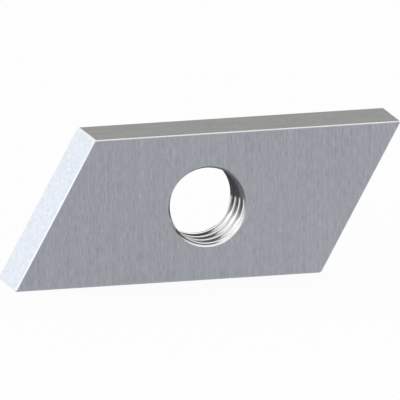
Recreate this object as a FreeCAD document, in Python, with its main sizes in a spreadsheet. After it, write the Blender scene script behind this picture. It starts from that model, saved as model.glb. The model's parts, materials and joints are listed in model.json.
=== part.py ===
import FreeCAD, Part

import math
import os

import Sketcher

# A slide nut: one parallelogram plate of flat steel bar with a metric thread through it.
# Lengths are in millimetres and angles in degrees.
# X runs along the long edges, Y along the bore from front face to back face, Z up.
# The origin is the middle of the bore, which is also the middle of the plate.

# Driving dimensions
SIZES = (
    ("plate_length", 21.2, "long edge of the parallelogram"),
    ("plate_height", 10.0, "width of the bar, from one long edge to the other"),
    ("plate_thickness", 4.2, "thickness of the bar"),
    ("corner_angle", 61.0, "sharp corner of the parallelogram"),
    ("edge_break", 0.1, "chamfer along every outer edge"),
    ("thread_diameter", 6.0, "major diameter of the metric thread"),
    ("thread_pitch", 1.0, "advance of the thread in one turn"),
    ("flank_angle", 60.0, "angle between the two flanks of the groove"),
    ("depth_share", 0.52, "groove depth, as a share of the height of a sharp groove"),
    ("root_share", 0.125, "flat at the root of the groove, as a share of the pitch"),
    ("front_rim_break", 0.2, "chamfer round the front mouth of the bore"),
    ("back_rim_break", 0.4, "chamfer round the back mouth of the bore"),
    ("full_depth", 0.25, "from each face to the middle of the groove at its full depth"),
    ("start_angle", 314.0, "where that is at the front, clockwise from the top"),
    ("runout_turns", 0.3, "turns over which the groove fades out at each end"),
    ("cutter_overlap", 0.03, "how far the groove's cutter stands inside the bore wall"),
)

# Sizes that follow from the driving dimensions
GROOVE_DEPTH = (
    "(sizes.depth_share * sizes.thread_pitch / (2 * tan(sizes.flank_angle / 2)))"
)
ROOT_WIDTH = "(sizes.root_share * sizes.thread_pitch)"
BORE_RADIUS = f"(sizes.thread_diameter / 2 - {GROOVE_DEPTH})"
CUTTER_RADIUS = f"({BORE_RADIUS} - sizes.cutter_overlap)"
CUTTER_DEPTH = f"({GROOVE_DEPTH} + sizes.cutter_overlap)"
RUNOUT_LENGTH = "(sizes.runout_turns * sizes.thread_pitch)"
RUNOUT_ANGLE = f"(-atan({CUTTER_DEPTH} / {RUNOUT_LENGTH}))"
FULL_THREAD = "(sizes.plate_thickness - 2 * sizes.full_depth)"
FULL_TURNS = f"({FULL_THREAD} / sizes.thread_pitch)"
END_ANGLE = f"(sizes.start_angle + 360 * {FULL_TURNS})"

# Places in a sketch: an edge, a point of an edge, and the sketch's own origin and axes
START = 1
END = 2
CENTRE = 3
ORIGIN = (-1, START)
H_AXIS = -1
V_AXIS = -2


def make_sheet(doc):
    """Put the driving dimensions in a spreadsheet, one named cell each."""
    sheet = doc.addObject("Spreadsheet::Sheet", "sizes")
    for row, (name, value, meaning) in enumerate(SIZES, start=1):
        sheet.set(f"A{row}", name)
        sheet.set(f"B{row}", str(value))
        sheet.set(f"C{row}", meaning)
        sheet.setAlias(f"B{row}", name)
    doc.recompute()
    return sheet


def new_sketch(body, name, role):
    """Start a sketch on one of the body's origin planes."""
    sketch = body.newObject("Sketcher::SketchObject", name)
    plane = next(item for item in body.Origin.OriginFeatures if item.Role == role)
    sketch.AttachmentSupport = (plane, "")
    sketch.MapMode = "FlatFace"
    return sketch


def new_feature(body, kind, name):
    """Start a feature that keeps the quarter faces of the bore apart."""
    feature = body.newObject(f"PartDesign::{kind}", name)
    feature.Refine = False
    return feature


def value_of(sheet, expression):
    """Work out an expression of the driving dimensions as a plain number."""
    return float(sheet.evalExpression(expression))


def tie(sketch, kind, *places):
    """Add a constraint that holds no size."""
    sketch.addConstraint(Sketcher.Constraint(kind, *places))


def dimension(sketch, sheet, name, kind, places, expression):
    """Add a named dimension and bind it to the sheet."""
    value = value_of(sheet, expression)
    if kind == "Angle":
        value = math.radians(value)
    index = sketch.addConstraint(Sketcher.Constraint(kind, *places, value))
    sketch.renameConstraint(index, name)
    sketch.setExpression(f"Constraints.{name}", expression)


def draw_loop(sketch, corners):
    """Draw a closed outline of straight edges through the corners, in order."""
    count = len(corners)
    for index, corner in enumerate(corners):
        begin = FreeCAD.Vector(*corner, 0)
        end = FreeCAD.Vector(*corners[(index + 1) % count], 0)
        sketch.addGeometry(Part.LineSegment(begin, end))
    for index in range(count):
        tie(sketch, "Coincident", index, END, (index + 1) % count, START)


def add_plate(body, sheet):
    """Pad the parallelogram outline to both sides of the middle plane."""
    length = value_of(sheet, "sizes.plate_length")
    height = value_of(sheet, "sizes.plate_height")
    lean = value_of(sheet, "sizes.plate_height / tan(sizes.corner_angle)")
    left = -(length + lean) / 2
    outline = new_sketch(body, "plate_outline", "XZ_Plane")
    draw_loop(
        outline,
        (
            (left, -height / 2),
            (left + length, -height / 2),
            (left + length + lean, height / 2),
            (left + lean, height / 2),
        ),
    )
    bottom, right, top = 0, 1, 2
    tie(outline, "Horizontal", bottom)
    tie(outline, "Symmetric", bottom, START, top, START, *ORIGIN)
    tie(outline, "Symmetric", bottom, END, top, END, *ORIGIN)
    dimension(outline, sheet, "length", "Distance", (bottom,), "sizes.plate_length")
    dimension(
        outline, sheet, "height", "DistanceY", (right, START, right, END),
        "sizes.plate_height",
    )
    dimension(outline, sheet, "corner", "Angle", (right,), "sizes.corner_angle")

    plate = new_feature(body, "Pad", "plate")
    plate.Profile = outline
    plate.SideType = "Symmetric"
    plate.setExpression("Length", "sizes.plate_thickness")
    return plate


def add_edge_breaks(body):
    """Take the sharpness off all twelve outer edges."""
    breaks = new_feature(body, "Chamfer", "edge_breaks")
    breaks.Base = (breaks.BaseFeature, [""])
    breaks.UseAllEdges = True
    breaks.setExpression("Size", "sizes.edge_break")
    return breaks


def add_bore(body, sheet):
    """Cut the round bore, drawn as quarter arcs so that its wall is four faces."""
    radius = value_of(sheet, BORE_RADIUS)
    outline = new_sketch(body, "bore_outline", "XZ_Plane")
    circle = Part.Circle(FreeCAD.Vector(), FreeCAD.Vector(0, 0, 1), radius)
    quarter = math.pi / 2
    for index in range(4):
        outline.addGeometry(
            Part.ArcOfCircle(circle, index * quarter, (index + 1) * quarter)
        )
        tie(outline, "Coincident", index, CENTRE, *ORIGIN)
    for index in range(3):
        tie(outline, "Coincident", index, END, index + 1, START)
    for index, axis in enumerate((H_AXIS, V_AXIS, H_AXIS, V_AXIS)):
        tie(outline, "PointOnObject", index, START, axis)
    tie(outline, "PointOnObject", 3, END, H_AXIS)
    dimension(outline, sheet, "radius", "Radius", (0,), BORE_RADIUS)

    bore = new_feature(body, "Pocket", "bore")
    bore.Profile = outline
    bore.SideType = "Symmetric"
    bore.setExpression("Length", "2 * sizes.plate_thickness")
    return bore


def add_rim_break(body, sheet, side, name):
    """Chamfer the mouth of the bore in one face: -1 is the front and 1 the back."""
    face = side * value_of(sheet, "sizes.plate_thickness") / 2
    rim = [
        f"Edge{number}"
        for number, edge in enumerate(body.Shape.Edges, start=1)
        if edge.Curve.TypeId == "Part::GeomCircle"
        and math.isclose(edge.CenterOfMass.y, face, abs_tol=1e-6)
    ]
    rim_break = new_feature(body, "Chamfer", name)
    rim_break.Base = (rim_break.BaseFeature, rim)
    rim_break.setExpression("Size", f"sizes.{name}")
    return rim_break


def draw_groove(body, sheet, name, place, angle):
    """Draw the groove's section beside the bore wall, centred at a place along the bore.

    The sketch's own X runs along the bore and its Y away from the axis. The angle turns
    it round the bore, clockwise from the top as the front shows it.
    """
    centre = value_of(sheet, place)
    root_radius = value_of(sheet, "sizes.thread_diameter / 2")
    mouth_radius = value_of(sheet, CUTTER_RADIUS)
    half_root = value_of(sheet, ROOT_WIDTH) / 2
    spread = value_of(sheet, f"{CUTTER_DEPTH} * tan(sizes.flank_angle / 2)")
    section = new_sketch(body, name, "YZ_Plane")
    along_bore = FreeCAD.Vector(1, 0, 0)
    section.AttachmentOffset = FreeCAD.Placement(
        FreeCAD.Vector(), FreeCAD.Rotation(along_bore, value_of(sheet, angle))
    )
    section.setExpression("AttachmentOffset.Rotation.Angle", angle)
    draw_loop(
        section,
        (
            (centre - half_root - spread, mouth_radius),
            (centre + half_root + spread, mouth_radius),
            (centre + half_root, root_radius),
            (centre - half_root, root_radius),
        ),
    )
    mouth, flank, root, other_flank = 0, 1, 2, 3
    tie(section, "Horizontal", mouth)
    tie(section, "Horizontal", root)
    tie(section, "Equal", flank, other_flank)
    dimension(
        section, sheet, "root_place", "DistanceX", (*ORIGIN, root, END),
        f"{place} - {ROOT_WIDTH} / 2",
    )
    dimension(
        section, sheet, "root_radius", "DistanceY", (*ORIGIN, root, END),
        "sizes.thread_diameter / 2",
    )
    dimension(section, sheet, "root_width", "DistanceX", (root, END, root, START),
              ROOT_WIDTH)
    dimension(
        section, sheet, "mouth_radius", "DistanceY", (*ORIGIN, mouth, START),
        CUTTER_RADIUS,
    )
    dimension(
        section, sheet, "flank_angle", "Angle", (flank,),
        "90 + sizes.flank_angle / 2",
    )
    return section


def cut_groove(body, name, section, turns, cone_angle, towards_front):
    """Sweep the groove's section round the bore as a right-hand helix."""
    groove = new_feature(body, "SubtractiveHelix", name)
    groove.Profile = section
    groove.ReferenceAxis = (section, ["H_Axis"])
    groove.Mode = "pitch-turns-angle"
    groove.Reversed = towards_front
    groove.setExpression("Pitch", "sizes.thread_pitch")
    groove.setExpression("Turns", turns)
    groove.setExpression("Angle", cone_angle)
    return groove


def add_thread(body, sheet):
    """Cut the thread: full turns in the middle and a fading run-out at each end."""
    front, back = f"-{FULL_THREAD} / 2", f"{FULL_THREAD} / 2"
    first = draw_groove(body, sheet, "groove_start", front, "sizes.start_angle")
    last = draw_groove(body, sheet, "groove_end", back, END_ANGLE)
    return (
        cut_groove(body, "thread", first, FULL_TURNS, "0", False),
        cut_groove(
            body, "front_runout", first, "sizes.runout_turns", RUNOUT_ANGLE, True
        ),
        cut_groove(
            body, "back_runout", last, "sizes.runout_turns", RUNOUT_ANGLE, False
        ),
    )


def check(doc, body, cuts):
    """Stop if anything failed, or if a cut took nothing away."""
    for item in doc.Objects:
        if "Invalid" in item.State or "Error" in item.State:
            raise RuntimeError(f"{item.Name} did not build: {item.State}")
    for cut in cuts:
        if not cut.Shape.Volume < cut.BaseFeature.Shape.Volume:
            raise RuntimeError(f"{cut.Name} took nothing away")
    shape = body.Shape
    if shape.isNull() or not shape.isValid() or len(shape.Solids) != 1:
        raise RuntimeError(f"{body.Label} is not one sound solid")


def main():
    doc = FreeCAD.newDocument("slide_nut")
    sheet = make_sheet(doc)
    body = doc.addObject("PartDesign::Body", "slide_nut")
    body.Label = "slide_nut"

    plate = add_plate(body, sheet)
    doc.recompute()
    edge_breaks = add_edge_breaks(body)
    doc.recompute()
    bore = add_bore(body, sheet)
    doc.recompute()
    front_rim = add_rim_break(body, sheet, -1, "front_rim_break")
    doc.recompute()
    back_rim = add_rim_break(body, sheet, 1, "back_rim_break")
    doc.recompute()
    thread = add_thread(body, sheet)
    doc.recompute()
    check(doc, body, (edge_breaks, bore, front_rim, back_rim, *thread))

    os.makedirs("parts", exist_ok=True)
    body.Shape.exportStep(os.path.join("parts", f"{body.Label}.step"))
    print(f"{body.Label}: {body.Shape.Volume:.1f} mm3, box {body.Shape.BoundBox}")


main()
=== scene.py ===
"""A steel slide nut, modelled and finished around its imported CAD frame."""

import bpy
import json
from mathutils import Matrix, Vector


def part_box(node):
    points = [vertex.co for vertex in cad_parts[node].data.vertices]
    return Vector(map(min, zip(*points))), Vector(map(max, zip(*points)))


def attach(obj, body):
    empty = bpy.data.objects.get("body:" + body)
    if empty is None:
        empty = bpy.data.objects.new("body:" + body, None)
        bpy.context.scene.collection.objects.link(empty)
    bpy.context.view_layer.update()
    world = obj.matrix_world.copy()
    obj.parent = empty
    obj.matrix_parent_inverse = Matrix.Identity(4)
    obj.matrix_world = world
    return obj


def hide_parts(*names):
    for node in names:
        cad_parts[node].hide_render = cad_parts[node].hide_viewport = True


bl_info = {
    "name": "Slide Nut",
    "version": (1, 0, 0),
    "blender": (4, 5, 0),
    "location": "View3D > Sidebar > Slide Nut",
    "description": "Models a slide nut with its thread, steel finishes and studio",
    "category": "Object",
}

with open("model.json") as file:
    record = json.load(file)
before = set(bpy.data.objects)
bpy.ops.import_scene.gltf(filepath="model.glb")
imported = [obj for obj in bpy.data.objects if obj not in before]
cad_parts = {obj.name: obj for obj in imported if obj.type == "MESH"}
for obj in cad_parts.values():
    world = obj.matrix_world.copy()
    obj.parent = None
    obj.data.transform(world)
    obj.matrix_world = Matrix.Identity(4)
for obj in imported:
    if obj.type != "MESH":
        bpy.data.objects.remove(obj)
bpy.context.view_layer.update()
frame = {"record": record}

import json
import math
from typing import NamedTuple

import bmesh
import bpy
from bpy.props import FloatProperty, FloatVectorProperty, IntProperty, PointerProperty
from mathutils import Vector

MM = 0.001
NODE = "slide_nut"
BODY = "root"

CAD_LOW, CAD_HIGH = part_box(NODE)
MOUNTS = {mount["name"]: mount for mount in frame["record"]["mounts"]}
LEFT_END = MOUNTS["left_end"]
RIGHT_END = MOUNTS["right_end"]

# The photograph's view: a parallel one, so one scale holds over the whole picture.
PHOTO_WIDTH = 400
PHOTO_SCALE = 15.04
NUT_MIDDLE_X = 199.45
NUT_MIDDLE_Y = 199.95

# How finely the nut is built: steps of a rounded crest, the distance at which vertices
# are merged, the share of half a pitch past which a vertex lies at mid-crest, and the
# angle up to which neighbouring faces are shaded as one.
ROUND_STEPS = 3
CLOSE = 0.0005 * MM
MID_CREST = 0.999
SMOOTH_ANGLE = math.radians(30)


class Surface(NamedTuple):
    """Finish of one kind of surface; its cells and its bump are in millimetres."""

    steel: str
    line_cell: tuple
    mottle_cell: tuple
    line_tone: float
    mottle_tone: float
    roughness: float
    roughness_spread: float
    bump: float


FACE = Surface(
    steel="brushed_face_steel",
    line_cell=(0.07, 0.07, 0.7),
    mottle_cell=(0.11, 0.11, 9.0),
    line_tone=1.1,
    mottle_tone=0.38,
    roughness=0.33,
    roughness_spread=0.12,
    bump=0.0013,
)
SIDE = Surface(
    steel="drawn_side_steel",
    line_cell=(0.26, 0.1, 0.1),
    mottle_cell=(1.4, 0.8, 0.8),
    line_tone=1.7,
    mottle_tone=0.4,
    roughness=0.3,
    roughness_spread=0.06,
    bump=0.0006,
)
END = Surface(
    steel="sawn_end_steel",
    line_cell=(0.16, 0.75, 0.16),
    mottle_cell=(0.37, 0.37, 0.37),
    line_tone=0.36,
    mottle_tone=0.34,
    roughness=0.36,
    roughness_spread=0.08,
    bump=0.001,
)
# Broken edges carry a painted highlight; the mouths' chamfer below starts from this
# finish.
EDGE = Surface(
    steel="edge_highlight_steel",
    line_cell=(0.26, 0.26, 0.26),
    mottle_cell=(0.8, 0.8, 0.8),
    line_tone=0.1,
    mottle_tone=0.1,
    roughness=0.26,
    roughness_spread=0.08,
    bump=0.0005,
)
THREAD = Surface(
    steel="cut_thread_steel",
    line_cell=(0.03, 0.03, 0.8),
    mottle_cell=(0.3, 0.3, 0.3),
    line_tone=0.25,
    mottle_tone=0.15,
    roughness=0.2,
    roughness_spread=0.06,
    bump=0.0005,
)
MOUTH = EDGE._replace(steel="mouth_highlight_steel", roughness=0.24, bump=0.0004)

# The two noises of every finish.
NOISE_DETAIL = 4.0
NOISE_MIDDLE = 0.5
LINE_GRAIN = 0.75
MOTTLE_GRAIN = 0.6

# Tint of the long sides' reflection at a slant.
SIDE_TINT = (0.75, 0.75, 0.75, 1)

# Masks. A pair is where a mask begins and where it is full.
# Painted highlight along a broken edge, in shares of the chamfer.
EDGE_HIGHLIGHT_LINE = (0.1, 0.6)
# Flanks and root of the groove, in depths past the bore's radius, where the thread's
# colours switch between painted highlight and painted shade.
GROOVE_DEPTHS = (0.01 * MM, 0.04 * MM)
ROOT_DEPTHS = (0.1 * MM, 0.16 * MM)
# Height at which the crests are fully in painted shade.
THREAD_SHADE_FULL = -0.3 * MM
# Painted shade line behind each crest: turns beside its middle, shares of the radius to
# the right between which it grows to its full strength, and its least strength.
LINE_TURNS = (0.16, 0.09)
LINE_SIDES = (0.72, 0.45)
LINE_LEAST = 0.3
# Painted shade over the upper half of the thread: heights over which its edge fades, and
# places along the bore where it deepens.
UPPER_SHADE_BLUR = 0.12 * MM
UPPER_SHADE_DEEPENS = (-1.9 * MM, -0.1 * MM)
# Painted highlight on one side of a mouth: angle over which it fades, and the middle
# and the edge of the circle that it ends at.
MOUTH_HIGHLIGHT_BLUR = 0.2
MOUTH_HIGHLIGHT_CENTRE = (-0.12 * MM, -0.09 * MM)
MOUTH_HIGHLIGHT_EDGE = 0.05 * MM
# Painted shade ring of a mouth: depth past the bore's radius, and distances beside its
# middle.
RING_DEPTH = 0.05 * MM
RING_EDGE = (0.05 * MM, 0.025 * MM)
# Its run along the bottom, in shares of the radius to the right.
RING_LOW_RIGHT = (0.45, 0.15)
RING_LOW_LEFT = (-0.95, -0.75)
# Its run up the right side, in shares of the radius and in heights, with a faint start.
RING_RIGHT = (0.35, 0.8)
RING_HEIGHTS = (-0.6 * MM, 1.0 * MM)
RING_FAINT_HEIGHTS = (-1.9 * MM, -1.0 * MM)
RING_FAINT = 0.35

# Sorting the nut's faces: share of a normal that lies along a flat's own, margins of the
# bore and of its chamfers, slopes of those, and what edges with painted highlight face.
FLAT = 0.99
BORE_MARGIN = 0.03 * MM
CONE_MARGIN = 0.01 * MM
CONE_SLOPES = (0.65, 0.75)
EDGE_HIGHLIGHT_UP = 0.1
EDGE_HIGHLIGHT_LEFT = 0.5

# The studio, in metres: floor, camera, lamps and the edges of the tent's opening.
FLOOR_SIZE = 3.0
CAMERA_DISTANCE = 0.3
CAMERA_CLIP = (0.01, 10.0)
LAMP_DISTANCE = 1.0
# Name, direction from the nut, size and brightness of each lamp.
LAMPS = (
    ("front_left_lamp", (-0.5, -0.76, 0.45), 0.62, 0.95),
    ("left_lamp", (-0.85, -0.3, 0.42), 0.6, 0.3),
)
OPENING_FRONT = (-0.4, -0.55)
OPENING_RISE = (0.28, 0.45)


class NutSizes(bpy.types.PropertyGroup):
    """Sizes of the nut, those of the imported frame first."""

    long_edge: FloatProperty(
        name="Long Edge",
        description="Length of the two long edges of the parallelogram",
        default=RIGHT_END["pos_m"][0] - LEFT_END["pos_m"][0],
        unit="LENGTH",
    )
    height: FloatProperty(
        name="Bar Width",
        description="Distance from one long edge to the other",
        default=CAD_HIGH.z - CAD_LOW.z,
        unit="LENGTH",
    )
    thickness: FloatProperty(
        name="Thickness",
        description="Thickness of the bar, which is also the depth of the bore",
        default=CAD_HIGH.y - CAD_LOW.y,
        unit="LENGTH",
    )
    corner_angle: FloatProperty(
        name="Sharp Corner",
        description="Angle of the parallelogram's sharp corners",
        default=math.atan2(-LEFT_END["axis"][0], LEFT_END["axis"][2]),
        subtype="ANGLE",
    )
    edge_break: FloatProperty(
        name="Edge Break",
        description="Chamfer along every outer edge",
        default=0.1 * MM,
        unit="LENGTH",
    )
    bore_radius: FloatProperty(
        name="Bore Radius",
        description="Radius of the bore at the thread's crests",
        default=MOUNTS["thread"]["dims"]["r_mm"] * MM,
        unit="LENGTH",
    )
    front_rim_break: FloatProperty(
        name="Front Rim Break",
        description="Chamfer round the front mouth of the bore",
        default=0.2 * MM,
        unit="LENGTH",
    )
    back_rim_break: FloatProperty(
        name="Back Rim Break",
        description="Chamfer round the back mouth of the bore",
        default=0.4 * MM,
        unit="LENGTH",
    )
    thread_radius: FloatProperty(
        name="Thread Radius",
        description="Radius at the root of the thread's groove",
        default=3.0 * MM,
        unit="LENGTH",
    )
    pitch: FloatProperty(
        name="Pitch",
        description="Advance of the thread in one turn",
        default=1.0 * MM,
        unit="LENGTH",
    )
    flank_angle: FloatProperty(
        name="Flank Angle",
        description="Angle between the two flanks of the groove",
        default=math.radians(60),
        subtype="ANGLE",
    )
    root_share: FloatProperty(
        name="Root Share",
        description="Flat at the root of the groove, as a share of the pitch",
        default=0.125,
        subtype="FACTOR",
    )
    crest_round: FloatProperty(
        name="Crest Rounding",
        description="Radius along the two edges of the thread's crest",
        default=0.07 * MM,
        unit="LENGTH",
    )
    full_depth: FloatProperty(
        name="Full Depth From",
        description="From each face to the middle of the groove at its full depth",
        default=0.25 * MM,
        unit="LENGTH",
    )
    start_angle: FloatProperty(
        name="Start Angle",
        description="Where that is at the front, clockwise from the top",
        default=math.radians(314),
        subtype="ANGLE",
    )
    runout_turns: FloatProperty(
        name="Run-out Turns",
        description="Turns over which the groove fades out at each end",
        default=0.28,
    )
    turn_steps: IntProperty(
        name="Steps per Turn",
        description="Straight steps that make up one turn of the thread",
        default=144,
    )


class SteelFinish(bpy.types.PropertyGroup):
    """Colours of the steel, from one surface to the next."""

    face_colour: FloatVectorProperty(
        name="Broad Faces",
        description="Brushed front and back faces",
        default=(0.352, 0.363, 0.401),
        subtype="COLOR",
        min=0,
        max=1,
    )
    side_colour: FloatVectorProperty(
        name="Long Sides",
        description="Drawn long sides of the bar",
        default=(0.275, 0.283, 0.262),
        subtype="COLOR",
        min=0,
        max=1,
    )
    # Painted highlight: the ends' steel is painted pale, as if lit.
    lit_end_colour: FloatVectorProperty(
        name="Slanted Ends",
        description="Slanted ends, painted pale as if lit",
        default=(0.815, 0.865, 0.945),
        subtype="COLOR",
        min=0,
        max=1,
    )
    # Painted highlight on the chamfers that face up or to the left.
    edge_highlight_colour: FloatVectorProperty(
        name="Broken Edges",
        description="Narrow chamfers with a painted highlight",
        default=(0.85, 0.86, 0.88),
        subtype="COLOR",
        min=0,
        max=1,
    )
    # Crests, groove and root: pale and darker colours as painted highlight and painted
    # shade.
    crest_colour: FloatVectorProperty(
        name="Thread Crests",
        description="Wall of the bore between the turns of the groove",
        default=(0.95, 0.95, 0.95),
        subtype="COLOR",
        min=0,
        max=1,
    )
    groove_colour: FloatVectorProperty(
        name="Thread Groove",
        description="Flanks of the groove beside the crests",
        default=(0.72, 0.72, 0.725),
        subtype="COLOR",
        min=0,
        max=1,
    )
    root_colour: FloatVectorProperty(
        name="Thread Root",
        description="Root of the groove and the flanks beside it",
        default=(0.93, 0.93, 0.93),
        subtype="COLOR",
        min=0,
        max=1,
    )
    # Painted shade line at the back of each crest.
    crest_line: FloatProperty(
        name="Crest Line",
        description="Dark line at the back of each crest, in turns behind the groove",
        default=0.64,
    )
    # Painted shade on the crests and flanks higher up, and on the line behind each crest.
    thread_shade_colour: FloatVectorProperty(
        name="Crest Shade",
        description="Crests and flanks at mid-height, and the line behind each crest",
        default=(0.09, 0.09, 0.095),
        subtype="COLOR",
        min=0,
        max=1,
    )
    thread_shade_reach: FloatProperty(
        name="Shade Reach",
        description="How far below the bore's middle the painted shade on the crests begins",
        default=2.1 * MM,
        unit="LENGTH",
    )
    # Painted shade: a matte dark film over the upper half of the thread.
    upper_shade_colour: FloatVectorProperty(
        name="Thread Shade",
        description="Painted shade over the upper half of the thread",
        default=(0.125, 0.13, 0.15),
        subtype="COLOR",
        min=0,
        max=1,
    )
    upper_shade_front_colour: FloatVectorProperty(
        name="Thin Shade",
        description="The painted shade where it thins out at the front mouth",
        default=(0.26, 0.27, 0.29),
        subtype="COLOR",
        min=0,
        max=1,
    )
    upper_shade_height: FloatProperty(
        name="Shade Height",
        description="Height at which the painted shade begins, at the middle of the bore",
        default=0.0,
        unit="LENGTH",
    )
    upper_shade_slant: FloatProperty(
        name="Shade Slant",
        description="How much lower the painted shade begins for each length further back",
        default=0.13,
    )
    mouth_colour: FloatVectorProperty(
        name="Mouth",
        description="Chamfer of the bore's mouths",
        default=(0.36, 0.37, 0.38),
        subtype="COLOR",
        min=0,
        max=1,
    )
    # Painted highlight on one side of the mouths' chamfer.
    mouth_highlight_colour: FloatVectorProperty(
        name="Mouth Highlight",
        description="Painted highlight on one side of that chamfer",
        default=(0.92, 0.92, 0.92),
        subtype="COLOR",
        min=0,
        max=1,
    )
    mouth_highlight_middle: FloatProperty(
        name="Highlight Middle",
        description="Middle of the painted highlight, clockwise from the top",
        default=math.radians(159),
        subtype="ANGLE",
    )
    mouth_highlight_reach: FloatProperty(
        name="Highlight Reach",
        description="How far the painted highlight reaches each way from its middle",
        default=math.radians(63.5),
        subtype="ANGLE",
    )
    # Painted shade: a dark ring at the inner edge of the mouths' chamfer.
    ring_shade_colour: FloatVectorProperty(
        name="Mouth Ring",
        description="Dark ring at the inner edge of that chamfer",
        default=(0.1, 0.1, 0.105),
        subtype="COLOR",
        min=0,
        max=1,
    )


class StudioSettings(bpy.types.PropertyGroup):
    """View and light of the studio."""

    azimuth: FloatProperty(
        name="Azimuth",
        description="Turn of the camera round the nut, from straight in front",
        default=math.radians(-16.08),
        subtype="ANGLE",
    )
    elevation: FloatProperty(
        name="Elevation",
        description="Height of the camera above the horizon",
        default=math.radians(12.84),
        subtype="ANGLE",
    )
    view_width: FloatProperty(
        name="View Width",
        description="Width of the picture at the nut",
        default=PHOTO_WIDTH / PHOTO_SCALE * MM,
        unit="LENGTH",
    )
    floor_colour: FloatVectorProperty(
        name="Floor",
        description="Pale floor that the nut stands on",
        default=(0.9, 0.9, 0.9),
        subtype="COLOR",
        min=0,
        max=1,
    )
    floor_white: FloatProperty(
        name="Floor White",
        description="Share of plain white in the floor, as the view and the metal see it",
        default=0.93,
        min=0,
        max=1,
    )
    tent_colour: FloatVectorProperty(
        name="Tent",
        description="White tent over, beside and behind the nut",
        default=(1.0, 1.0, 1.0),
        subtype="COLOR",
        min=0,
        max=1,
    )
    opening_colour: FloatVectorProperty(
        name="Opening",
        description="Dark opening of the tent, high in front of the nut",
        default=(0.06, 0.06, 0.06),
        subtype="COLOR",
        min=0,
        max=1,
    )


def select_vertices(piece, test):
    """Select the vertices of a piece in edit mode that pass a test."""
    bpy.ops.mesh.select_mode(type="VERT")
    bpy.ops.mesh.select_all(action="DESELECT")
    mesh = bmesh.from_edit_mesh(piece.data)
    for vert in mesh.verts:
        if test(vert):
            vert.select_set(True)
    mesh.select_flush_mode()
    bmesh.update_edit_mesh(piece.data)


def start_piece(name, add, **settings):
    """Add a primitive with nothing else selected, and open it for editing."""
    bpy.ops.object.select_all(action="DESELECT")
    add(**settings)
    piece = bpy.context.object
    piece.name = name
    piece.data.name = name
    bpy.ops.object.mode_set(mode="EDIT")
    return piece


def add_bar(sizes):
    """Lean a block over into the parallelogram and break its edges."""
    bar = start_piece("threaded_plate", bpy.ops.mesh.primitive_cube_add, size=1)
    bpy.ops.transform.resize(value=(sizes.long_edge, sizes.thickness, sizes.height))
    lean = sizes.height / math.tan(sizes.corner_angle)
    for side in (-1, 1):
        select_vertices(bar, lambda vert: vert.co.z * side > 0)
        bpy.ops.transform.translate(value=(side * lean / 2, 0, 0))
    bpy.ops.mesh.select_all(action="SELECT")
    bpy.ops.mesh.bevel(
        offset_type="OFFSET", offset=sizes.edge_break, segments=1, affect="EDGES"
    )
    bpy.ops.object.mode_set(mode="OBJECT")
    return bar


def groove_section(sizes):
    """Half of the tap's section, from the middle of the groove's root to mid-crest.

    Each corner is how far it lies beside the middle, and its radius.
    """
    slope = math.tan(sizes.flank_angle / 2)
    half_root = sizes.root_share * sizes.pitch / 2
    mouth = half_root + (sizes.thread_radius - sizes.bore_radius) * slope
    rounding = sizes.crest_round
    middle = mouth + rounding * math.tan(math.pi / 4 - sizes.flank_angle / 4)
    section = [(half_root, sizes.thread_radius)]
    for step in range(ROUND_STEPS + 1):
        turn = (math.pi / 2 - sizes.flank_angle / 2) * (1 - step / ROUND_STEPS)
        section.append(
            (
                middle - rounding * math.sin(turn),
                sizes.bore_radius + rounding * (1 - math.cos(turn)),
            )
        )
    section.append((sizes.pitch / 2, sizes.bore_radius))
    return section


def groove_start(sizes):
    """Find where along the bore the groove's middle lies straight above the axis."""
    full_from = sizes.full_depth - sizes.thickness / 2
    return full_from - sizes.start_angle / math.tau * sizes.pitch


def fade_groove(tap, sizes, start):
    """Draw the tap's teeth in to the bore's radius where the thread runs out."""
    slope = math.tan(sizes.flank_angle / 2)
    half_root = sizes.root_share * sizes.pitch / 2
    depth = sizes.thread_radius - sizes.bore_radius
    mouth = half_root + depth * slope
    half_full = (sizes.thickness / 2 - sizes.full_depth) / sizes.pitch
    for vert in tap.data.vertices:
        turn = math.atan2(vert.co.x, vert.co.z) / math.tau
        place = (vert.co.y - start) / sizes.pitch - turn
        beside = (place - round(place)) * sizes.pitch
        beyond = abs(round(place) + turn + start / sizes.pitch) - half_full
        share = min(max(beyond / sizes.runout_turns, 0), 1)
        radius = math.hypot(vert.co.x, vert.co.z)
        if share == 0 or abs(beside) > sizes.pitch / 2 * MID_CREST:
            continue
        left = depth * (1 - share)
        if radius > sizes.bore_radius + depth / 2:
            new_radius = sizes.bore_radius + left
            new_beside = beside
        else:
            shrink = min(left / sizes.crest_round, 1)
            new_radius = sizes.bore_radius + (radius - sizes.bore_radius) * shrink
            from_mouth = (abs(beside) - mouth) * shrink
            new_beside = math.copysign(half_root + left * slope + from_mouth, beside)
        vert.co.x *= new_radius / radius
        vert.co.z *= new_radius / radius
        vert.co.y += new_beside - beside


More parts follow.
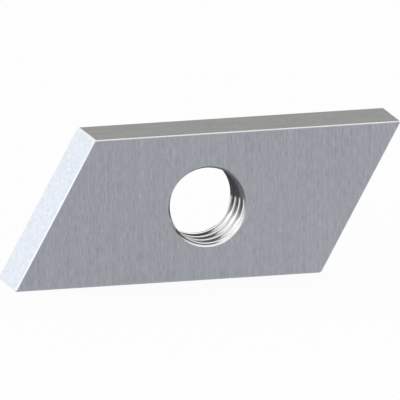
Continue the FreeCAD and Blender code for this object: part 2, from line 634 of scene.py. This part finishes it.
def add_tap(sizes):
    """Screw one tooth of the tap round the bore's axis, and trim the tap past the bar."""
    half = groove_section(sizes)
    section = [(-beside, radius) for beside, radius in reversed(half)] + half
    end = sizes.thickness / 2 + sizes.back_rim_break
    start = groove_start(sizes)
    low = start - math.ceil((end + start) / sizes.pitch + 1) * sizes.pitch
    tap = start_piece("tap", bpy.ops.mesh.primitive_plane_add, size=sizes.pitch)
    bpy.ops.mesh.select_mode(type="VERT")
    bpy.ops.mesh.merge(type="CENTER")
    bpy.ops.mesh.select_all(action="SELECT")
    bpy.ops.transform.translate(value=(0, low + section[0][0], section[0][1]))
    for (beside, radius), (next_beside, next_radius) in zip(section, section[1:]):
        step = (0, next_beside - beside, next_radius - radius)
        bpy.ops.mesh.extrude_vertices_move(TRANSFORM_OT_translate={"value": step})
    bpy.ops.object.mode_set(mode="OBJECT")

    turns = tap.modifiers.new("Turns", "SCREW")
    turns.axis = "Y"
    turns.screw_offset = sizes.pitch
    turns.iterations = math.ceil((end - low) / sizes.pitch + 1)
    turns.steps = sizes.turn_steps
    turns.render_steps = sizes.turn_steps
    bpy.ops.object.modifier_apply(modifier=turns.name)
    merge_close(tap)
    fade_groove(tap, sizes, start)
    merge_close(tap)

    bpy.ops.object.mode_set(mode="EDIT")
    for side in (-1, 1):
        bpy.ops.mesh.select_all(action="SELECT")
        bpy.ops.mesh.bisect(
            plane_co=(0, side * end, 0),
            plane_no=(0, side, 0),
            clear_outer=True,
            use_fill=True,
        )
    bpy.ops.mesh.select_all(action="SELECT")
    bpy.ops.mesh.normals_make_consistent(inside=False)
    bpy.ops.object.mode_set(mode="OBJECT")
    return tap


def merge_close(piece):
    """Merge the vertices of a piece that lie in one place."""
    bpy.ops.object.mode_set(mode="EDIT")
    bpy.ops.mesh.select_all(action="SELECT")
    bpy.ops.mesh.remove_doubles(threshold=CLOSE)
    bpy.ops.object.mode_set(mode="OBJECT")


def add_countersink(sizes, side, rim_break):
    """Turn a cone that cuts the chamfer round one mouth of the bore."""
    bpy.ops.object.select_all(action="DESELECT")
    reach = 2 * rim_break
    rim = sizes.bore_radius + rim_break
    bpy.ops.mesh.primitive_cone_add(
        vertices=sizes.turn_steps,
        radius1=rim - reach,
        radius2=rim + reach,
        depth=2 * reach,
        location=(0, side * sizes.thickness / 2, 0),
        rotation=(-side * math.pi / 2, 0, 0),
    )
    return bpy.context.object


def cut_away(piece, cutter):
    """Cut a closed tool out of a piece."""
    cut = piece.modifiers.new("Cut", "BOOLEAN")
    cut.operation = "DIFFERENCE"
    cut.solver = "EXACT"
    cut.object = cutter
    bpy.context.view_layer.objects.active = piece
    bpy.ops.object.modifier_apply(modifier=cut.name)
    bpy.data.objects.remove(cutter)


def tap_bar(bar, sizes):
    """Cut the thread and both chamfers of the bore, and smooth what is round."""
    cut_away(bar, add_tap(sizes))
    cut_away(bar, add_countersink(sizes, -1, sizes.front_rim_break))
    cut_away(bar, add_countersink(sizes, 1, sizes.back_rim_break))
    bpy.ops.object.select_all(action="DESELECT")
    bar.select_set(True)
    merge_close(bar)
    bpy.ops.object.shade_smooth_by_angle(angle=SMOOTH_ANGLE)
    return bar


def set_inputs(node, values):
    """Set a node's input sockets by name."""
    for name, value in values.items():
        node.inputs[name].default_value = value


def new_node(tree, kind, **settings):
    """Add a node with its settings."""
    node = tree.nodes.new(kind)
    for name, value in settings.items():
        setattr(node, name, value)
    return node


def feed(tree, colour, socket):
    """Give a socket a colour, which is another socket or plain."""
    if isinstance(colour, bpy.types.NodeSocket):
        tree.links.new(colour, socket)
    else:
        socket.default_value = (*colour, 1)


def new_maths(tree, operation, first, second=0.0):
    """Add a maths node; each input is a socket or a number."""
    node = new_node(tree, "ShaderNodeMath", operation=operation)
    for socket, value in zip(node.inputs, (first, second)):
        if isinstance(value, (int, float)):
            socket.default_value = value
        else:
            tree.links.new(value, socket)
    return node.outputs[0]


def make_finish_group():
    """Build the finish that every steel surface shares: fine lines over a soft mottle."""
    group = bpy.data.node_groups.new("Steel Finish", "ShaderNodeTree")
    sockets = group.interface
    for name, kind in (
        ("Lines Place", "NodeSocketVector"),
        ("Mottle Place", "NodeSocketVector"),
        ("Colour", "NodeSocketColor"),
        ("Lines Tone", "NodeSocketFloat"),
        ("Mottle Tone", "NodeSocketFloat"),
        ("Roughness", "NodeSocketFloat"),
        ("Roughness Spread", "NodeSocketFloat"),
    ):
        sockets.new_socket(name, in_out="INPUT", socket_type=kind)
    for name, kind in (
        ("Colour", "NodeSocketColor"),
        ("Roughness", "NodeSocketFloat"),
        ("Height", "NodeSocketFloat"),
    ):
        sockets.new_socket(name, in_out="OUTPUT", socket_type=kind)
    given = new_node(group, "NodeGroupInput").outputs
    result = new_node(group, "NodeGroupOutput").inputs

    noises = []
    for place, grain in (
        ("Lines Place", LINE_GRAIN),
        ("Mottle Place", MOTTLE_GRAIN),
    ):
        noise = new_node(group, "ShaderNodeTexNoise")
        set_inputs(noise, {"Scale": 1.0, "Detail": NOISE_DETAIL, "Roughness": grain})
        group.links.new(given[place], noise.inputs["Vector"])
        noises.append(noise.outputs["Fac"])
    line_swing, mottle_swing = (
        new_maths(group, "SUBTRACT", noise, NOISE_MIDDLE) for noise in noises
    )
    line_tone = new_maths(group, "MULTIPLY", line_swing, given["Lines Tone"])
    mottle_tone = new_maths(group, "MULTIPLY", mottle_swing, given["Mottle Tone"])
    tone = new_maths(group, "ADD", new_maths(group, "ADD", line_tone, mottle_tone), 1.0)
    tint = new_node(group, "ShaderNodeVectorMath", operation="SCALE")
    group.links.new(given["Colour"], tint.inputs["Vector"])
    group.links.new(tone, tint.inputs["Scale"])
    group.links.new(tint.outputs["Vector"], result["Colour"])

    swing = new_maths(group, "ADD", line_swing, mottle_swing)
    spread = new_maths(group, "MULTIPLY", swing, given["Roughness Spread"])
    roughness = new_maths(group, "SUBTRACT", given["Roughness"], spread)
    group.links.new(roughness, result["Roughness"])
    group.links.new(noises[0], result["Height"])
    return group


def new_steel(surface):
    """Start a bare steel material and give its object coordinates."""
    material = bpy.data.materials.new(surface.steel)
    material.use_nodes = True
    tree = material.node_tree
    shader = tree.nodes["Principled BSDF"]
    set_inputs(shader, {"Metallic": 1.0, "Roughness": surface.roughness})
    place = new_node(tree, "ShaderNodeTexCoord").outputs["Object"]
    return material, tree, shader, place


def mapped(tree, place, cell):
    """Scale coordinates so that the pattern's cells have a size in millimetres."""
    mapping = new_node(tree, "ShaderNodeMapping", vector_type="TEXTURE")
    mapping.inputs["Scale"].default_value = [length * MM for length in cell]
    tree.links.new(place, mapping.inputs["Vector"])
    return mapping.outputs["Vector"]


def finish_steel(parts, group, surface, colour, line_place=None):
    """Feed a steel shader from the shared finish group.

    The colour is a socket or plain, and the lines may follow a place of their own.
    """
    material, tree, shader, place = parts
    finish = new_node(tree, "ShaderNodeGroup", node_tree=group)
    lines = mapped(tree, place if line_place is None else line_place, surface.line_cell)
    tree.links.new(lines, finish.inputs["Lines Place"])
    mottle = mapped(tree, place, surface.mottle_cell)
    tree.links.new(mottle, finish.inputs["Mottle Place"])
    feed(tree, colour, finish.inputs["Colour"])
    set_inputs(
        finish,
        {
            "Lines Tone": surface.line_tone,
            "Mottle Tone": surface.mottle_tone,
            "Roughness": surface.roughness,
            "Roughness Spread": surface.roughness_spread,
        },
    )
    bump = new_node(tree, "ShaderNodeBump")
    set_inputs(bump, {"Strength": 1.0, "Distance": surface.bump * MM})
    tree.links.new(finish.outputs["Height"], bump.inputs["Height"])
    tree.links.new(finish.outputs["Colour"], shader.inputs["Base Color"])
    tree.links.new(finish.outputs["Roughness"], shader.inputs["Roughness"])
    tree.links.new(bump.outputs["Normal"], shader.inputs["Normal"])
    return material


def make_face_steel(finish, group):
    """Broad faces: fine brush lines across the bar."""
    return finish_steel(new_steel(FACE), group, FACE, finish.face_colour)


def make_side_steel(finish, group):
    """Long sides: drawn smooth along the bar, and a little dull at a slant."""
    parts = new_steel(SIDE)
    _, _, shader, _ = parts
    shader.inputs["Specular Tint"].default_value = SIDE_TINT
    return finish_steel(parts, group, SIDE, finish.side_colour)


def make_end_steel(finish, group):
    """Slanted ends: fine saw marks through the thickness with a faint mottle."""
    # Their pale colour is a painted highlight, as if the ends were lit.
    return finish_steel(new_steel(END), group, END, finish.lit_end_colour)


def split_place(tree, place):
    """Split a place into how far it lies across, along the bore and up."""
    split = new_node(tree, "ShaderNodeSeparateXYZ")
    tree.links.new(place, split.inputs["Vector"])
    return split.outputs


def new_ramp(tree, value, start, end):
    """Rise softly from 0 at start to 1 at end."""
    ramp = new_node(tree, "ShaderNodeMapRange", interpolation_type="SMOOTHSTEP")
    tree.links.new(value, ramp.inputs["Value"])
    ramp.inputs["From Min"].default_value = start
    ramp.inputs["From Max"].default_value = end
    return ramp.outputs["Result"]


def new_mix(tree, factor, first, second):
    """Blend two colours, each a socket or a plain colour."""
    blend = new_node(tree, "ShaderNodeMix", data_type="RGBA")
    tree.links.new(factor, blend.inputs["Factor"])
    feed(tree, first, blend.inputs["A"])
    feed(tree, second, blend.inputs["B"])
    return blend.outputs["Result"]


def new_distance(tree, across, up, middle=(0.0, 0.0)):
    """Measure the distance from a line along the bore."""
    squares = []
    for value, shift in zip((across, up), middle):
        offset = new_maths(tree, "SUBTRACT", value, shift)
        squares.append(new_maths(tree, "MULTIPLY", offset, offset))
    return new_maths(tree, "SQRT", new_maths(tree, "ADD", *squares))


def new_gap(tree, value, middle):
    """Measure how far a value is from a middle, to either side."""
    return new_maths(tree, "ABSOLUTE", new_maths(tree, "SUBTRACT", value, middle))


def make_edge_steel(finish, group, sizes):
    """Broken edges: a painted highlight along a line, in the face's tone beside it."""
    parts = new_steel(EDGE)
    _, tree, _, place = parts
    _, along, _ = split_place(tree, place)
    off_middle = new_maths(tree, "ABSOLUTE", along)
    depth = new_maths(tree, "SUBTRACT", sizes.thickness / 2, off_middle)
    line = new_ramp(tree, depth, *(share * sizes.edge_break for share in EDGE_HIGHLIGHT_LINE))
    colour = new_mix(tree, line, finish.face_colour, finish.edge_highlight_colour)
    return finish_steel(parts, group, EDGE, colour)


def thread_place(tree, sizes, across, along, up, radius):
    """Unroll the thread, for marks that follow it, and find the turn and the helix."""
    turn = new_maths(tree, "ARCTAN2", across, up)
    advance = new_maths(tree, "MULTIPLY", turn, sizes.pitch / math.tau)
    helix = new_maths(tree, "SUBTRACT", along, advance)
    round_bore = new_maths(tree, "MULTIPLY", turn, sizes.bore_radius)
    marks = new_node(tree, "ShaderNodeCombineXYZ")
    for name, value in (("X", radius), ("Y", helix), ("Z", round_bore)):
        tree.links.new(value, marks.inputs[name])
    return marks.outputs["Vector"], helix


def new_crest_line(tree, finish, sizes, helix, across_share):
    """Mark the painted shade line at the back of each crest, strongest low down."""
    start = groove_start(sizes)
    turns = new_maths(tree, "DIVIDE", helix, sizes.pitch)
    from_groove = new_maths(tree, "SUBTRACT", turns, start / sizes.pitch)
    phase = new_maths(tree, "FRACT", from_groove)
    on_line = new_ramp(tree, new_gap(tree, phase, finish.crest_line), *LINE_TURNS)
    low_down = new_ramp(tree, across_share, *LINE_SIDES)
    strength = new_maths(tree, "MAXIMUM", low_down, LINE_LEAST)
    return new_maths(tree, "MULTIPLY", on_line, strength)


def make_thread_steel(finish, group, sizes):
    """Cut thread: painted highlight low down, painted shade higher up and over the upper
    half.
    """
    parts = new_steel(THREAD)
    _, tree, shader, place = parts
    # No specular, so the painted shade over the upper half stays matte.
    shader.inputs["Specular IOR Level"].default_value = 0.0
    across, along, up = split_place(tree, place)
    radius = new_distance(tree, across, up)
    marks, helix = thread_place(tree, sizes, across, along, up, radius)

    # Painted highlight low down, turning to painted shade higher up.
    dull = new_ramp(tree, up, -finish.thread_shade_reach, THREAD_SHADE_FULL)
    crest = new_mix(tree, dull, finish.crest_colour, finish.thread_shade_colour)
    flank = new_mix(tree, dull, finish.groove_colour, finish.thread_shade_colour)
    # Colours by depth: painted highlight on the crests and root, painted shade on the
    # flanks.
    bore = sizes.bore_radius
    groove = new_ramp(tree, radius, *(bore + depth for depth in GROOVE_DEPTHS))
    colour = new_mix(tree, groove, crest, flank)
    # Painted shade line behind each crest.
    across_share = new_maths(tree, "DIVIDE", across, radius)
    line = new_crest_line(tree, finish, sizes, helix, across_share)
    colour = new_mix(tree, line, colour, finish.thread_shade_colour)
    deep = new_ramp(tree, radius, *(bore + depth for depth in ROOT_DEPTHS))
    colour = new_mix(tree, deep, colour, finish.root_colour)

    # Painted shade over the upper half of the thread, matte and without metal.
    slant = new_maths(tree, "MULTIPLY", along, finish.upper_shade_slant)
    upper_shade = new_ramp(
        tree,
        new_maths(tree, "ADD", up, slant),
        finish.upper_shade_height - UPPER_SHADE_BLUR,
        finish.upper_shade_height + UPPER_SHADE_BLUR,
    )
    upper_shade_tone = new_mix(
        tree,
        new_ramp(tree, along, *UPPER_SHADE_DEEPENS),
        finish.upper_shade_front_colour,
        finish.upper_shade_colour,
    )
    colour = new_mix(tree, upper_shade, colour, upper_shade_tone)
    bare = new_maths(tree, "SUBTRACT", 1.0, upper_shade)
    tree.links.new(bare, shader.inputs["Metallic"])
    return finish_steel(parts, group, THREAD, colour, marks)


def new_mouth_highlight(tree, finish, sizes, across, up, radius):
    """Mark the painted highlight on one side of a mouth, up to a round edge."""
    towards = new_maths(
        tree,
        "ADD",
        new_maths(tree, "MULTIPLY", across, math.sin(finish.mouth_highlight_middle)),
        new_maths(tree, "MULTIPLY", up, math.cos(finish.mouth_highlight_middle)),
    )
    lit_side = new_ramp(
        tree,
        new_maths(tree, "DIVIDE", towards, radius),
        math.cos(finish.mouth_highlight_reach + MOUTH_HIGHLIGHT_BLUR),
        math.cos(finish.mouth_highlight_reach - MOUTH_HIGHLIGHT_BLUR),
    )
    rim = sizes.bore_radius + sizes.front_rim_break
    off_centre = new_distance(tree, across, up, MOUTH_HIGHLIGHT_CENTRE)
    inside = new_ramp(tree, off_centre, rim, rim - MOUTH_HIGHLIGHT_EDGE)
    return new_maths(tree, "MULTIPLY", lit_side, inside)


def new_mouth_ring_shade(tree, sizes, across, up, radius):
    """Mark the painted shade ring inside a mouth's chamfer, along the bottom and upper
    right.
    """
    off_ring = new_gap(tree, radius, sizes.bore_radius + RING_DEPTH)
    ring = new_ramp(tree, off_ring, *RING_EDGE)
    across_share = new_maths(tree, "DIVIDE", across, radius)
    low = new_maths(
        tree,
        "MULTIPLY",
        new_ramp(tree, across_share, *RING_LOW_RIGHT),
        new_ramp(tree, across_share, *RING_LOW_LEFT),
    )
    faint = new_maths(
        tree, "MULTIPLY", new_ramp(tree, up, *RING_FAINT_HEIGHTS), RING_FAINT
    )
    high = new_maths(
        tree,
        "MULTIPLY",
        new_maths(tree, "MAXIMUM", new_ramp(tree, up, *RING_HEIGHTS), faint),
        new_ramp(tree, across_share, *RING_RIGHT),
    )
    return new_maths(tree, "MULTIPLY", ring, new_maths(tree, "MAXIMUM", low, high))


def make_mouth_steel(finish, group, sizes):
    """Chamfer of the mouths: a painted highlight on one side, with a painted shade ring
    inside it.
    """
    parts = new_steel(MOUTH)
    _, tree, _, place = parts
    across, _, up = split_place(tree, place)
    radius = new_distance(tree, across, up)
    # Painted highlight on one side of the chamfer.
    lit_side = new_mouth_highlight(tree, finish, sizes, across, up, radius)
    colour = new_mix(tree, lit_side, finish.mouth_colour, finish.mouth_highlight_colour)
    # Painted shade ring inside the chamfer.
    ring = new_mouth_ring_shade(tree, sizes, across, up, radius)
    colour = new_mix(tree, ring, colour, finish.ring_shade_colour)
    return finish_steel(parts, group, MOUTH, colour)


def paint_nut(nut, finish, sizes):
    """Give each surface of the nut its own steel."""
    group = make_finish_group()
    for material in (
        make_face_steel(finish, group),
        make_side_steel(finish, group),
        make_end_steel(finish, group),
        make_edge_steel(finish, group, sizes),
        make_thread_steel(finish, group, sizes),
        make_mouth_steel(finish, group, sizes),
    ):
        nut.data.materials.append(material)
    face, side, end, edge, thread, mouth = range(len(nut.data.materials))
    end_normal = Vector(LEFT_END["axis"])
    for polygon in nut.data.polygons:
        middle = polygon.center
        normal = polygon.normal
        radius = math.hypot(middle.x, middle.z)
        rim_break = sizes.front_rim_break if middle.y < 0 else sizes.back_rim_break
        rim_radius = sizes.bore_radius + rim_break
        cone_radius = rim_radius - (sizes.thickness / 2 - abs(middle.y))
        if abs(normal.y) > FLAT:
            polygon.material_index = face
        elif radius < sizes.thread_radius + BORE_MARGIN:
            on_cone = abs(radius - cone_radius) < CONE_MARGIN
            on_mouth = on_cone and CONE_SLOPES[0] < abs(normal.y) < CONE_SLOPES[1]
            polygon.material_index = mouth if on_mouth else thread
        elif abs(normal.z) > FLAT:
            polygon.material_index = side
        elif abs(normal.dot(end_normal)) > FLAT:
            polygon.material_index = end
        else:
            # Chamfers that face up or to the left take the painted highlight, the rest
            # the face's steel.
            lit_side = normal.z > EDGE_HIGHLIGHT_UP or normal.dot(end_normal) > EDGE_HIGHLIGHT_LEFT
            polygon.material_index = edge if lit_side else face


class SLIDENUT_OT_add_nut(bpy.types.Operator):
    """Model the nut, thread and all, and give its surfaces their steel"""

    bl_idname = "slidenut.add_nut"
    bl_label = "Add Nut"
    bl_options = {"REGISTER", "UNDO"}

    def execute(self, context):
        sizes = context.scene.nut_sizes
        nut = tap_bar(add_bar(sizes), sizes)
        paint_nut(nut, context.scene.steel_finish, sizes)
        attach(nut, BODY)
        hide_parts(NODE)
        return {"FINISHED"}


def add_floor(studio, height):
    """Lay a pale floor under the nut that shows white but keeps a faint shadow."""
    bpy.ops.object.select_all(action="DESELECT")
    bpy.ops.mesh.primitive_plane_add(size=FLOOR_SIZE, location=(0, 0, height))
    floor = bpy.context.object
    floor.name = "studio_floor"
    material = bpy.data.materials.new("pale_floor")
    material.use_nodes = True
    tree = material.node_tree
    shader = tree.nodes["Principled BSDF"]
    set_inputs(
        shader,
        {
            "Base Color": (*studio.floor_colour, 1),
            "Roughness": 1.0,
            "Specular IOR Level": 0.0,
        },
    )
    path = new_node(tree, "ShaderNodeLightPath").outputs
    seen = new_maths(tree, "MAXIMUM", path["Is Camera Ray"], path["Is Glossy Ray"])
    seen = new_maths(tree, "MAXIMUM", seen, path["Is Transmission Ray"])
    white_share = new_maths(tree, "MULTIPLY", seen, studio.floor_white)
    white = new_node(tree, "ShaderNodeEmission")
    blend = new_node(tree, "ShaderNodeMixShader")
    tree.links.new(white_share, blend.inputs["Fac"])
    tree.links.new(shader.outputs["BSDF"], blend.inputs[1])
    tree.links.new(white.outputs["Emission"], blend.inputs[2])
    output = tree.nodes["Material Output"]
    tree.links.new(blend.outputs["Shader"], output.inputs["Surface"])
    floor.data.materials.append(material)


def add_lamp(name, direction, size, brightness):
    """Hang a soft box that faces the nut; at a brightness of 1 it looks plain white."""
    light = bpy.data.lights.new(name, "AREA")
    light.shape = "SQUARE"
    light.size = size
    light.energy = brightness * math.pi * size**2
    lamp = bpy.data.objects.new(name, light)
    bpy.context.scene.collection.objects.link(lamp)
    away = Vector(direction).normalized()
    lamp.location = away * LAMP_DISTANCE
    lamp.rotation_mode = "QUATERNION"
    lamp.rotation_quaternion = away.to_track_quat("Z", "Y")
    lamp.visible_camera = False


def light_room(studio):
    """Put the nut in a white tent with a dark opening high in front."""
    world = bpy.data.worlds.new("studio_room")
    bpy.context.scene.world = world
    world.use_nodes = True
    tree = world.node_tree
    background = tree.nodes["Background"]
    place = new_node(tree, "ShaderNodeTexCoord").outputs["Generated"]
    _, forward, up = split_place(tree, place)
    in_front = new_ramp(tree, forward, *OPENING_FRONT)
    high_up = new_ramp(tree, up, *OPENING_RISE)
    opening = new_maths(tree, "MULTIPLY", in_front, high_up)
    colour = new_mix(tree, opening, studio.tent_colour, studio.opening_colour)
    tree.links.new(colour, background.inputs["Color"])


def add_camera(studio):
    """Set up the parallel view of the photograph."""
    turn, rise = studio.azimuth, studio.elevation
    back = Vector(
        (
            math.sin(turn) * math.cos(rise),
            -math.cos(turn) * math.cos(rise),
            math.sin(rise),
        )
    )
    camera = bpy.data.objects.new("camera", bpy.data.cameras.new("camera"))
    bpy.context.scene.collection.objects.link(camera)
    bpy.context.scene.camera = camera
    camera.data.type = "ORTHO"
    camera.data.ortho_scale = studio.view_width
    camera.rotation_mode = "QUATERNION"
    camera.rotation_quaternion = (-back).to_track_quat("-Z", "Y")
    right = camera.rotation_quaternion @ Vector((1, 0, 0))
    up = camera.rotation_quaternion @ Vector((0, 1, 0))
    pixel = studio.view_width / PHOTO_WIDTH
    aim_right = (PHOTO_WIDTH / 2 - NUT_MIDDLE_X) * pixel
    aim_up = (NUT_MIDDLE_Y - PHOTO_WIDTH / 2) * pixel
    camera.location = back * CAMERA_DISTANCE + right * aim_right + up * aim_up
    camera.data.clip_start, camera.data.clip_end = CAMERA_CLIP


class SLIDENUT_OT_add_stage(bpy.types.Operator):
    """Set up the floor, the room's light, the lamps and the camera"""

    bl_idname = "slidenut.add_stage"
    bl_label = "Add Stage"
    bl_options = {"REGISTER", "UNDO"}

    def execute(self, context):
        studio = context.scene.nut_studio
        add_floor(studio, CAD_LOW.z)
        light_room(studio)
        for lamp in LAMPS:
            add_lamp(*lamp)
        add_camera(studio)
        context.scene.view_settings.view_transform = "Standard"
        return {"FINISHED"}


class SLIDENUT_PT_panel(bpy.types.Panel):
    """Sizes, finishes and steps of the slide nut"""

    bl_label = "Slide Nut"
    bl_idname = "SLIDENUT_PT_panel"
    bl_space_type = "VIEW_3D"
    bl_region_type = "UI"
    bl_category = "Slide Nut"

    def draw(self, context):
        layout = self.layout
        for settings, title in (
            (context.scene.nut_sizes, "Sizes"),
            (context.scene.steel_finish, "Finish"),
            (context.scene.nut_studio, "Studio"),
        ):
            box = layout.box()
            box.label(text=title)
            for name in settings.__annotations__:
                box.prop(settings, name)
        layout.operator(SLIDENUT_OT_add_nut.bl_idname)
        layout.operator(SLIDENUT_OT_add_stage.bl_idname)


CLASSES = (
    NutSizes,
    SteelFinish,
    StudioSettings,
    SLIDENUT_OT_add_nut,
    SLIDENUT_OT_add_stage,
    SLIDENUT_PT_panel,
)


def register():
    """Register the classes and give every scene the three groups of settings."""
    for item in CLASSES:
        bpy.utils.register_class(item)
    bpy.types.Scene.nut_sizes = PointerProperty(type=NutSizes)
    bpy.types.Scene.steel_finish = PointerProperty(type=SteelFinish)
    bpy.types.Scene.nut_studio = PointerProperty(type=StudioSettings)


def unregister():
    """Undo what register does."""
    del bpy.types.Scene.nut_studio
    del bpy.types.Scene.steel_finish
    del bpy.types.Scene.nut_sizes
    for item in reversed(CLASSES):
        bpy.utils.unregister_class(item)


def main():
    """Build the nut and its stage."""
    register()
    bpy.ops.slidenut.add_nut()
    bpy.ops.slidenut.add_stage()


if __name__ == "__main__":
    main()
